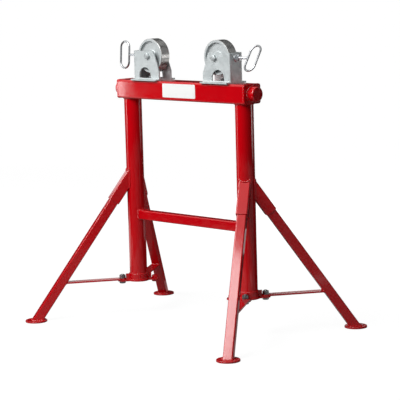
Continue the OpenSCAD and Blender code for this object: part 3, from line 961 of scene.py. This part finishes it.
@dataclass
class Stand:
    """The welded stand: beam, columns, crossbar, base plates, legs and their bolts."""

    finishes: FinishSet
    beam_corner: float = 7 * MM
    tube_corner: float = 4 * MM
    lip_offset: float = 0.6 * MM
    lug_reach: float = 57 * MM
    lug_angle: float = math.radians(57)
    gusset_half: float = 2.5 * MM
    gusset_end: float = 44.5 * MM
    nut_height: float = 10 * MM
    nut_play: float = 0.1 * MM
    head_height: float = 7.5 * MM
    bolt_flats: float = 19 * MM
    bolt_plain: float = 4 * MM
    bolt_thread: Thread = Thread(radius=6 * MM, pitch=1.75 * MM, depth=0.9 * MM)
    bead: Bead = Bead()
    small_bead: Bead = Bead(radius=2.0 * MM, pitch=2.8 * MM)
    cap_bead: Bead = Bead(radius=1.7 * MM, pitch=3.6 * MM, ripple=0.14)
    cap_sink: float = 0.45
    plate_size: Pair = (154 * MM, 46 * MM)
    plate_corner: float = 2.5 * MM
    plate_centre: Pair = (2.5 * MM, 2.0 * MM)
    plate_thick: float = 0.6 * MM
    plate_inset: tuple[float, ...] = (0.0, 0.0, 0.15, 0.5, 1.5)
    plate_rise: tuple[float, ...] = (-0.2, 0.5, 0.85, 1.0, 1.0)
    plate_points: int = 120
    plate_sharp: float = 25.0

    def build(self) -> None:
        """Dress the stand's nodes and add its welds, bolts and plate."""
        nodes = frame["record"]["behaviour"]["bodies"]["stand"]
        dress(self.finishes.paint, *(name for name in nodes if not name.startswith("brace_")))
        # The brace washers wear the darker zinc copy, which paints shade on them.
        dress(self.finishes.bolt, "brace_washers")
        for side in Side:
            self.weld_column(side)
            self.weld_crossbar(side)
            self.weld_beam_end(side)
            for end in End:
                self.weld_leg(LegJoint(side, end))
        self.weld_gussets()
        self.bolt_lugs()
        self.fix_plate()

    def weld(self, name: str, *shells: Shell) -> None:
        """Add painted weld beads to the stand."""
        make_piece(name, list(shells), "stand", self.finishes.paint, WELD_SHARP)

    def weld_column(self, side: Side) -> None:
        """Weld a column to the beam and to the collar round its foot.

        Args:
            side: End of the beam that the column carries.
        """
        column, collars = Box.of(side.name_of("column")), Box.of("foot_collars")
        x, y = column.centre[:2]
        radius = column.half[0]
        self.weld(side.name_of("column_top_weld"),
                  self.bead.round_circle([x, y, column.high[2]], radius, UPRIGHT, -1.0))
        lip = self.small_bead.round_circle([x, y, collars.high[2]], radius + self.lip_offset, UPRIGHT, 1.0)
        foot = self.small_bead.round_circle([x, y, collars.low[2]], collars.half[1], UPRIGHT, 1.0)
        self.weld(side.name_of("collar_weld"), lip, foot)

    def weld_crossbar(self, side: Side) -> None:
        """Weld the crossbar to a column.

        The bead follows the bar's outline, where each of its lines along X meets the column:
        the square root of r^2 - y^2 from the column's axis.

        Args:
            side: End of the beam that the column carries.
        """
        column, bar = Box.of(side.name_of("column")), Box.of("crossbar")
        radius, half = column.half[0], bar.half[2]
        line, normal = rounded_outline(half, half, self.tube_corner, self.bead.count(8 * half))
        reach = -side.value * np.sqrt(radius ** 2 - line[:, 0] ** 2)
        zero = np.zeros_like(reach)
        path = np.stack([column.centre[0] + reach, line[:, 0], bar.centre[2] + line[:, 1]], -1)
        radial = np.stack([reach, line[:, 0], zero], -1) / radius
        out = radial + np.stack([zero, *normal.T], -1)
        self.weld(side.name_of("crossbar_weld"), self.bead.shell(path, out, True))

    def weld_beam_end(self, side: Side) -> None:
        """Weld the end cap round the beam, with a bead sunk along its normals, and the stub on the cap.

        Args:
            side: End of the beam.
        """
        cap, stub = Box.of(side.name_of("end_cap")), Box.of(side.name_of("end_stub"))
        middle, (half_d, half_h) = cap.centre[1:], cap.half[1:]
        count = self.cap_bead.count(4 * (half_d + half_h))
        line, normal = rounded_outline(half_d, half_h, self.beam_corner, count)
        seam = middle + (line - self.cap_sink * self.cap_bead.radius * normal)
        path = np.stack([np.full(count, cap.inner(side)), *seam.T], -1)
        out = np.stack([np.zeros(count), *normal.T], -1)
        self.weld(side.name_of("end_cap_weld"), self.cap_bead.shell(path, out, True))
        axes = np.array([[0, 1, 0], [0, 0, 1], [side.value, 0, 0]], float)
        self.weld(side.name_of("end_stub_weld"),
                  self.bead.round_circle([cap.outer(side), *middle], stub.half[2], axes, 1.0))

    def weld_leg(self, leg: LegJoint) -> None:
        """Weld a leg's socket, foot and brace.

        Args:
            leg: The leg.
        """
        self.weld(leg.node("socket_weld"), leg.socket_weld())
        self.weld(leg.node("foot_weld"), leg.foot_weld())
        self.weld(leg.node("brace_weld"), *leg.brace_welds())

    def lug_spots(self, braced: bool) -> list[Array]:
        """Bolt places in plan.

        Args:
            braced: Whether to give the lugs under the braces or the spare ones.

        Returns:
            One point for each lug of that kind, left base plate first.
        """
        step = self.lug_reach * np.array([math.cos(self.lug_angle), math.sin(self.lug_angle)])
        spots = []
        for side in Side:
            axis = Box.of(side.name_of("column")).centre[:2]
            turns = [(side.value, end.value) for end in End] if braced else [(-side.value, -side.value)]
            spots += [axis + step * turn for turn in turns]
        return spots

    def bolt_lugs(self) -> None:
        """Put threaded bolts and turned nuts in the lugs of both base plates."""
        head = Hexagon(self.bolt_flats, self.head_height, both_ends=False).shell()
        bore = self.bolt_thread.radius + self.nut_play
        nut = Hexagon(self.bolt_flats, self.nut_height, bore=bore).shell()
        # Brace bolts and nuts wear the darker zinc copy, which paints shade on them; the spare ones wear
        # the red paint.
        for kind, braced, slot, finish in (("brace", True, Slot.ZINC, self.finishes.bolt),
                                           ("spare", False, Slot.RED_PAINT, self.finishes.paint)):
            bolt, rest = Box.of(kind + "_bolts"), Box.of(kind + "_nuts").low[2]
            seat = bolt.low[2] + self.head_height
            shank = self.bolt_thread.rod(seat, seat + self.bolt_plain, bolt.high[2])
            bolts, nuts = [], []
            for x, y in self.lug_spots(braced):
                bolts += [shank.placed([x, y, 0.0], UPRIGHT), head.placed([x, y, seat], UPSIDE_DOWN)]
                nuts.append(nut.placed([x, y, rest], UPRIGHT))
            for name, shells in ((kind + "_bolts", bolts), (kind + "_nuts", nuts)):
                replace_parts(make_piece(name + "_turned", shells, "stand", finish), name)

    def weld_gussets(self) -> None:
        """Weld both sides of each gusset along the base plate, from the collar outwards."""
        collars, floor = Box.of("foot_collars"), Box.of("foot_gussets").low[2]
        start = collars.half[1]
        beads = []
        for spot in self.lug_spots(True) + self.lug_spots(False):
            axis = np.array([math.copysign(collars.half[0] - start, spot[0]), 0.0])
            out = np.array([*(spot - axis) / np.linalg.norm(spot - axis), 0.0])
            across = np.array([-out[1], out[0], 0.0])
            for turn in (-1, 1):
                line = np.array([*axis, floor]) + turn * self.gusset_half * across
                beads.append(self.small_bead.along(line + start * out, line + self.gusset_end * out,
                                                   turn * across + [0, 0, 1.0]))
        self.weld("gusset_welds", *beads)

    def fix_plate(self) -> None:
        """Lay the bare white plate on the beam's front face.

        Rows of the shell step the outline in along its normals: from the back, up the edge, over
        a small round to the flat front.
        """
        beam = Box.of("top_beam")
        half_w, half_h = (size / 2 for size in self.plate_size)
        line, normal = rounded_outline(half_w, half_h, self.plate_corner, self.plate_points)
        inset = np.array(self.plate_inset) * self.plate_thick
        rise = np.array(self.plate_rise) * self.plate_thick
        flat = line - inset[:, None, None] * normal
        x = beam.centre[0] + self.plate_centre[0] + flat[..., 0]
        z = beam.centre[2] + self.plate_centre[1] + flat[..., 1]
        y = np.broadcast_to((beam.low[1] - rise)[:, None], x.shape)
        make_piece("beam_plate", [grid_shell(np.stack([x, y, z], -1), loop=False)], "stand",
                   self.finishes.plate, self.plate_sharp)


# The roller heads


@dataclass
class RollerHead:
    """One head: bracket, roller and axle, hold-down bolt, and lock screw with its loop.

    The tip's shares are of its radius, and the neck's and the loop weld's are of the neck's radius.
    flange_rows are shares of the flange's height, and neck_rows count back from the middle of the
    wire. lock_leads are how far outside the thread's two ends its tapers start.
    """

    side: Side
    finishes: FinishSet
    axle_thread: Thread = Thread(radius=6.35 * MM, pitch=1.95 * MM, depth=1.0 * MM)
    axle_flats: float = 19.05 * MM
    axle_head: float = 8 * MM
    axle_thread_past_nut: float = 6 * MM
    axle_nut_play: float = 0.1 * MM
    hold_thread: Thread = Thread(radius=6 * MM, pitch=1.75 * MM, depth=0.9 * MM)
    hold_flats: float = 19 * MM
    hold_plain: float = 6 * MM
    flange: float = 2 * MM
    flange_radius: float = 12 * MM
    flange_rows: tuple[float, ...] = (0.0, 0.3, 0.8, 1.0)
    flange_inset: tuple[float, ...] = (0.0, 0.0, 0.2 * MM, 0.6 * MM)
    flange_columns: int = 48
    boss: float = 5 * MM
    boss_radius: float = 12 * MM
    boss_chamfer: float = 0.8 * MM
    boss_overlap: float = 0.5 * MM
    boss_columns: int = 64
    lock_thread: Thread = Thread(radius=5 * MM, pitch=1.5 * MM, depth=0.8 * MM, rows_per_turn=10)
    lock_flats: float = 17 * MM
    lock_play: float = 0.12 * MM
    lock_thread_past_nut: float = 2.5 * MM
    lock_leads: Pair = (0.3 * MM, 0.4 * MM)
    tip_radius: float = 3 * MM
    tip_length: float = 2.5 * MM
    tip_chamfer: float = 0.4 * MM
    tip_shares: tuple[float, ...] = (0.8, 1.0, 1.0)
    neck_radius: float = 4 * MM
    neck_rows: Pair = (3.5 * MM, 1.5 * MM)
    neck_shares: tuple[float, ...] = (1.0, 1.0, 0.85, 0.7)
    wire_radius: float = 3.25 * MM
    loop_weld_inset: float = 0.2 * MM
    loop_weld_share: float = 0.85
    loop_weld_lean: float = 0.6
    bead: Bead = Bead(radius=1.8 * MM, pitch=2.2 * MM)

    def __post_init__(self) -> None:
        """Read the axle and the outward direction of the lock screw."""
        roller = Box.of(self.node("roller"))
        self.axle, self.tread = roller.centre, roller.half[2]
        self.out = np.array([self.side.value, 0.0, 0.0])
        self.to_rear = np.array([[1, 0, 0], [0, 0, -1], [0, 1, 0]], float)
        self.to_front = np.array([[1, 0, 0], [0, 0, 1], [0, -1, 0]], float)
        self.to_out = np.array([[0, 0, 1], [0, self.side.value, 0], self.out], float)
        self.head_body = self.node("head")
        self.lock_body = self.node("lock_handle")

    def node(self, piece: str) -> str:
        """Name of this head's node or body for a piece."""
        return self.side.name_of(piece)

    def build(self) -> None:
        """Dress the head's nodes and add its hardware and welds."""
        steel = TurnedSteel(self.node("turned_steel"), tuple(self.axle), self.tread).material()
        for finish, pieces in ((self.finishes.zinc, ("bracket", "hold_down_strap")),
                               # The hold-down nut wears the darker zinc copy, which paints the shade inside
                               # the bracket.
                               (self.finishes.bolt, ("hold_down_nut",)),
                               (steel, ("roller",)),
                               (self.finishes.pad, ("thrust_washers", "lock_pad")),
                               (self.finishes.bronze, ("bush",)),
                               (self.finishes.bright, ("loop_handle",))):
            dress(finish, *map(self.node, pieces))
        self.fit_axle()
        self.fit_hold_down()
        self.fit_lock_nut()
        self.fit_lock_screw()
        self.weld_strap()

    def swap(self, piece: str, shells: list[Shell], body: str, finish: Material) -> None:
        """Put a detailed piece in place of one of the head's nodes."""
        node = self.node(piece)
        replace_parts(make_piece(node + "_turned", shells, body, finish), node)

    def weld(self, piece: str, shells: list[Shell], body: str, slot: Slot, finish: Material) -> None:
        """Add weld beads to the head."""
        make_piece(self.node(piece), shells, body, finish, WELD_SHARP)

    def fit_axle(self) -> None:
        """Make the axle bolt with its turned head and thread, and its nut."""
        bolt, nut = Box.of(self.node("axle_bolt")), Box.of(self.node("axle_nut"))
        seat = bolt.low[1] + self.axle_head
        origin = np.array([self.axle[0], 0.0, self.axle[2]])
        shank = self.axle_thread.rod(seat, nut.low[1] - self.axle_thread_past_nut, bolt.high[1])
        head = Hexagon(self.axle_flats, self.axle_head, both_ends=False).shell()
        bore = self.axle_thread.radius + self.axle_nut_play
        hexagon = Hexagon(self.axle_flats, 2 * nut.half[1], bore=bore).shell()
        shells = [shank.placed(origin, self.to_rear), head.placed(origin + [0, seat, 0], self.to_front)]
        # The axle bolt and nut wear the darker zinc copy, which paints shade on their faces towards the
        # softbox.
        self.swap("axle_bolt", shells, self.head_body, self.finishes.satin)
        self.swap("axle_nut", [hexagon.placed(origin + [0, nut.low[1], 0], self.to_rear)],
                  self.head_body, self.finishes.satin)

    def fit_hold_down(self) -> None:
        """Make the hold-down bolt: flanged hexagon over a threaded shank."""
        bolt = Box.of(self.node("hold_down_bolt"))
        x, y = bolt.centre[:2]
        seat = Box.of(self.node("hold_down_strap")).high[2]
        head_base = seat + self.flange
        shank = self.hold_thread.rod(0.0, self.hold_plain, seat - bolt.low[2])
        width = self.flange_radius - np.array(self.flange_inset)
        flange = revolve(np.array(self.flange_rows) * self.flange,
                         np.tile(width[:, None], (1, self.flange_columns)))
        head = Hexagon(self.hold_flats, bolt.high[2] - head_base, both_ends=False).shell()
        shells = [shank.placed([x, y, seat], UPSIDE_DOWN), flange.placed([x, y, seat], UPRIGHT),
                  head.placed([x, y, head_base], UPRIGHT)]
        # The hold-down bolt wears the darker zinc copy, which paints the shade inside the bracket.
        self.swap("hold_down_bolt", shells, self.head_body, self.finishes.bolt)

    def fit_lock_nut(self) -> None:
        """Make the welded lock nut: a round foot with a chamfer, a turned hexagon and its weld."""
        nut = Box.of(self.node("lock_nut"))
        origin = np.array([nut.inner(self.side), 0.0, self.axle[2]])
        bore = self.lock_thread.radius + self.lock_play
        wide, slim = self.boss_radius, self.boss_radius - self.boss_chamfer
        rise = np.array([0.0, 0.0, self.boss - self.boss_chamfer, self.boss, self.boss])
        width = np.array([bore, wide, wide, slim, bore])
        foot = revolve(rise, np.tile(width[:, None], (1, self.boss_columns)), bored=True)
        height = 2 * nut.half[0] - self.boss + self.boss_overlap
        hexagon = Hexagon(self.lock_flats, height, bore=bore).shell()
        base = origin + (self.boss - self.boss_overlap) * self.out
        shells = [foot.placed(origin, self.to_out), hexagon.placed(base, self.to_out)]
        # The lock nut wears the lighter zinc copy: brighter plating plus painted highlight.
        self.swap("lock_nut", shells, self.head_body, self.finishes.bright_zinc)
        bead = self.bead.round_circle(origin, self.boss_radius, self.to_out, 1.0)
        self.weld("lock_nut_weld", [bead], self.head_body, Slot.ZINC, self.finishes.weld)

    def fit_lock_screw(self) -> None:
        """Make the lock screw: plain tip, thread, and a neck that runs into the loop's weld.

        It is one revolved rod. Its heights count outwards along X from the middle of the stand,
        and at both ends of the thread the radius drops to the root within one pitch.
        """
        outwards = self.side.value
        tip = outwards * Box.of(self.node("lock_screw")).inner(self.side)
        nut_end = outwards * Box.of(self.node("lock_nut")).outer(self.side)
        loop_start = outwards * Box.of(self.node("loop_handle")).inner(self.side)
        shoulder = tip + self.tip_length
        thread_end, wire = nut_end + self.lock_thread_past_nut, loop_start + self.wire_radius
        thread = self.lock_thread
        z = thread.heights(shoulder, thread_end)
        near, far = self.lock_leads
        lead = np.minimum(1.0, np.minimum(z - shoulder + near, thread_end - z + far) / thread.pitch)
        threaded = np.minimum(thread.cut(z, shoulder, thread_end),
                              thread.radius - thread.depth * (1 - lead[:, None]))
        plain = np.ones((1, thread.columns))
        tip_z = [tip, tip + self.tip_chamfer, shoulder]
        tip_r = np.array(self.tip_shares)[:, None] * self.tip_radius * plain
        neck_z = [thread_end, *(wire - row for row in self.neck_rows), wire]
        neck_r = np.array(self.neck_shares)[:, None] * self.neck_radius * plain
        rod = revolve(np.concatenate([tip_z, z, neck_z]), np.vstack([tip_r, threaded, neck_r]))
        origin = np.array([0.0, 0.0, self.axle[2]])
        # The lock screw wears the lighter zinc copy: brighter plating plus painted highlight.
        self.swap("lock_screw", [rod.placed(origin, self.to_out)], self.lock_body,
                  self.finishes.bright_zinc)
        bead = self.bead.round_circle(origin + (loop_start + self.loop_weld_inset) * self.out,
                                      self.loop_weld_share * self.neck_radius, self.to_out,
                                      self.loop_weld_lean)
        self.weld("loop_weld", [bead], self.lock_body, Slot.BRIGHT_STEEL, self.finishes.bright)

    def weld_strap(self) -> None:
        """Weld the hold-down strap to both side plates, on its top edges."""
        strap = Box.of(self.node("hold_down_strap"))
        beads = []
        for y, lean in ((strap.low[1], 1.0), (strap.high[1], -1.0)):
            start, end = (np.array([x, y, strap.high[2]]) for x in (strap.low[0], strap.high[0]))
            beads.append(self.bead.along(start, end, [0.0, lean, 1.0]))
        self.weld("strap_weld", beads, self.head_body, Slot.ZINC, self.finishes.weld)


# The studio


def grey(tone: float) -> tuple[float, float, float, float]:
    """A grey as a shader's colour."""
    return tone, tone, tone, 1.0


def lay_sheet(name: str, outline: list[Point], material: Material) -> bpy.types.Object:
    """Add a flat four-cornered sheet to the stage.

    Args:
        name: Name of the sheet.
        outline: Its corners in order.
        material: Its material.

    Returns:
        The sheet.
    """
    mesh = bpy.data.meshes.new(name)
    mesh.from_pydata(outline, [], [(0, 1, 2, 3)])
    mesh.materials.append(material)
    sheet = add_object(name, mesh)
    return sheet


@dataclass(frozen=True)
class Softbox:
    """A rectangular lamp that faces a point."""

    name: str
    place: Point
    target: Point
    size: Pair
    radiance: float

    def hang(self) -> None:
        """Add the lamp: its power is pi times its area times its radiance."""
        lamp = bpy.data.lights.new(self.name, "AREA")
        lamp.shape = "RECTANGLE"
        lamp.size, lamp.size_y = self.size
        lamp.energy = math.pi * self.size[0] * self.size[1] * self.radiance
        aim = (Vector(self.target) - Vector(self.place)).to_track_quat("-Z", "Y")
        holder = add_object(self.name, lamp)
        holder.matrix_world = Matrix.Translation(self.place) @ aim.to_matrix().to_4x4()


@dataclass(frozen=True)
class Flag:
    """An upright studio panel out of view, dark unless it has a tone, for gloss and metal to reflect."""

    name: str
    start: Pair
    end: Pair
    low: float
    high: float
    tone: float = 0.03

    def outline(self) -> list[Point]:
        """The panel's four corners in order."""
        (a, b), low, high = (self.start, self.end), self.low, self.high
        return [(*a, low), (*b, low), (*b, high), (*a, high)]

    def hang(self) -> None:
        """Add the panel as part of the stage, hidden from the camera and casting no shadow."""
        cloth = Surface(self.name).finish(Base_Color=grey(self.tone), Roughness=1.0, Specular_IOR_Level=0.0)
        panel = lay_sheet(self.name, self.outline(), cloth)
        panel.visible_camera = False
        panel.visible_shadow = False


@dataclass(frozen=True)
class Mat(Flag):
    """A dark mat on the floor between two opposite corners, which takes its glow out of reflections."""

    def outline(self) -> list[Point]:
        """The mat's four corners in order, just above the floor."""
        (left, front), (right, rear) = self.start, self.end
        return [(x, y, self.low) for x, y in ((left, front), (right, front), (right, rear), (left, rear))]


@dataclass
class Studio:
    """Camera, pale floor, white surround and soft light, as the photograph has them."""

    camera_place: Point = (3.9488, -3.8580, 1.2069)
    yaw: float = math.radians(45.3)
    pitch: float = math.radians(8.09)
    roll: float = math.radians(-1.59)
    lens: float = 150.25
    sensor: float = 36.0
    view_reach: float = 100.0
    floor_half: float = 150.0
    floor_drop: float = 0.2 * MM
    floor_glow: Pair = (0.94, 0.97)
    floor_reach: Pair = (1.0, 3.0)
    floor_tone: float = 0.14
    floor_roughness: float = 0.9
    ambient: float = 0.23
    softboxes: tuple[Softbox, ...] = (
        Softbox("front_top_softbox", (-0.25, -2.1, 2.3), (-0.05, 0.0, 0.5), (2.3, 1.5), 8.2),
        Softbox("left_strip", (-3.0, -2.33, 0.54), (-0.39, -0.04, 0.79), (0.4, 0.5), 6.5),
        Softbox("right_strip", (1.75, 2.1, 0.66), (-0.1, 0.0, 0.9), (0.36, 0.6), 2.3),
        Softbox("rear_fill", (-1.0, 2.7, 0.45), (0.0, 0.0, 0.6), (2.2, 0.7), 10.0),
    )
    flags: tuple[Flag, ...] = (
        Flag("left_front_flag", (-1.69, -1.33), (-0.45, -1.75), 0.0, 1.0),
        Flag("front_flag", (-0.45, -1.75), (1.0, -2.1), 0.0, 0.9),
        Flag("camera_flag", (1.0, -2.1), (2.4, -0.6), 0.0, 0.9),
        Flag("right_flag", (2.4, -0.6), (1.56, 1.43), 0.0, 3.4),
        Flag("right_high_card", (1.56, 1.43), (1.2, 2.3), 1.03, 3.4, 0.55),
        Flag("right_low_card", (1.56, 1.43), (1.2, 2.3), 0.0, 0.33, 0.55),
        Flag("rear_flag", (1.2, 2.3), (-4.2, 2.3), 0.0, 3.6),
        Flag("rear_floor_flag", (1.0, 0.55), (-0.85, 0.55), 0.0, 0.5),
        Flag("left_floor_flag", (-0.85, 0.55), (-1.45, 0.55), 0.0, 0.2),
        Flag("left_brace_card", (-0.85, 0.55), (-1.45, 0.55), 0.2, 0.5, 0.75),
        Flag("right_brace_card", (0.2, 0.545), (-0.25, 0.545), 0.17, 0.26, 0.75),
        Flag("front_floor_flag", (-0.75, -1.15), (0.6, -1.15), 0.0, 0.45, 0.32),
        Flag("corner_floor_flag", (0.6, -1.15), (1.4, -0.3), 0.0, 0.45, 0.32),
        Flag("right_floor_flag", (1.4, -0.3), (1.0, 0.55), 0.0, 0.45, 0.32),
        Mat("floor_mat", (-1.2, -1.1), (1.2, 0.55), -0.1 * MM, -0.1 * MM, 0.34),
        Flag("left_flag", (-2.4, 0.8), (-2.4, -1.0), 0.0, 2.6),
    )

    def build(self) -> None:
        """Set up the whole studio."""
        bpy.context.scene.view_settings.view_transform = "Standard"
        self.place_camera()
        self.spread_floor()
        self.wrap_world()
        for item in (*self.softboxes, *self.flags):
            item.hang()

    def place_camera(self) -> None:
        """Set the camera by its yaw to the right of the front, its pitch and its roll."""
        forward = Vector((-math.sin(self.yaw) * math.cos(self.pitch),
                          math.cos(self.yaw) * math.cos(self.pitch), -math.sin(self.pitch)))
        level = Vector((math.cos(self.yaw), math.sin(self.yaw), 0.0))
        lift = level.cross(forward)
        across = math.cos(self.roll) * level + math.sin(self.roll) * lift
        up = math.cos(self.roll) * lift - math.sin(self.roll) * level
        turn = Matrix((across, up, -forward)).transposed().to_4x4()
        optics = bpy.data.cameras.new("camera")
        optics.sensor_width = self.sensor
        optics.lens = self.lens
        optics.clip_end = self.view_reach
        camera = add_object("camera", optics)
        camera.matrix_world = Matrix.Translation(self.camera_place) @ turn
        bpy.context.scene.camera = camera

    def spread_floor(self) -> None:
        """Lay the floor: a glow that camera and gloss see, more so far out, and a tone for the shadow."""
        g = Surface("pale_floor")
        level = g.span(g.length(g.coordinates), self.floor_reach, self.floor_glow)
        paper = g.finish(Base_Color=grey(self.floor_tone), Roughness=self.floor_roughness,
                         Specular_IOR_Level=0.0, Emission_Color=grey(1.0),
                         Emission_Strength=g.maths("MULTIPLY", g.seen(), level))
        half = self.floor_half
        outline = [(half * x, half * y, -self.floor_drop) for x, y in ((-1, -1), (1, -1), (1, 1), (-1, 1))]
        lay_sheet("floor", outline, paper)

    def wrap_world(self) -> None:
        """Surround the stage with white for the camera and gloss, and a softer level for diffuse light."""
        world = bpy.data.worlds.new("white_surround")
        bpy.context.scene.world = world
        world.use_nodes = True
        g = Graph(world.node_tree)
        level = g.span(g.seen(), (0.0, 1.0), (self.ambient, 1.0))
        back = g.node("Background", Color=grey(1.0), Strength=level)
        g.node("OutputWorld", Surface=back.outputs["Background"])


def clear_start_scene() -> None:
    """Remove what Blender's start scene holds besides the frame."""
    kept = {*frame["nodes"].values(), *frame["bodies"].values()}
    for item in [o for o in bpy.data.objects if o not in kept]:
        bpy.data.objects.remove(item)


def main() -> None:
    """Build the looks in order."""
    logging.basicConfig(level=logging.INFO, format="%(name)s %(message)s")
    clear_start_scene()
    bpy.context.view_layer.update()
    Studio().build()
    finishes = FinishSet()
    Stand(finishes).build()
    for side in Side:
        RollerHead(side, finishes).build()


if __name__ == "__main__":
    main()
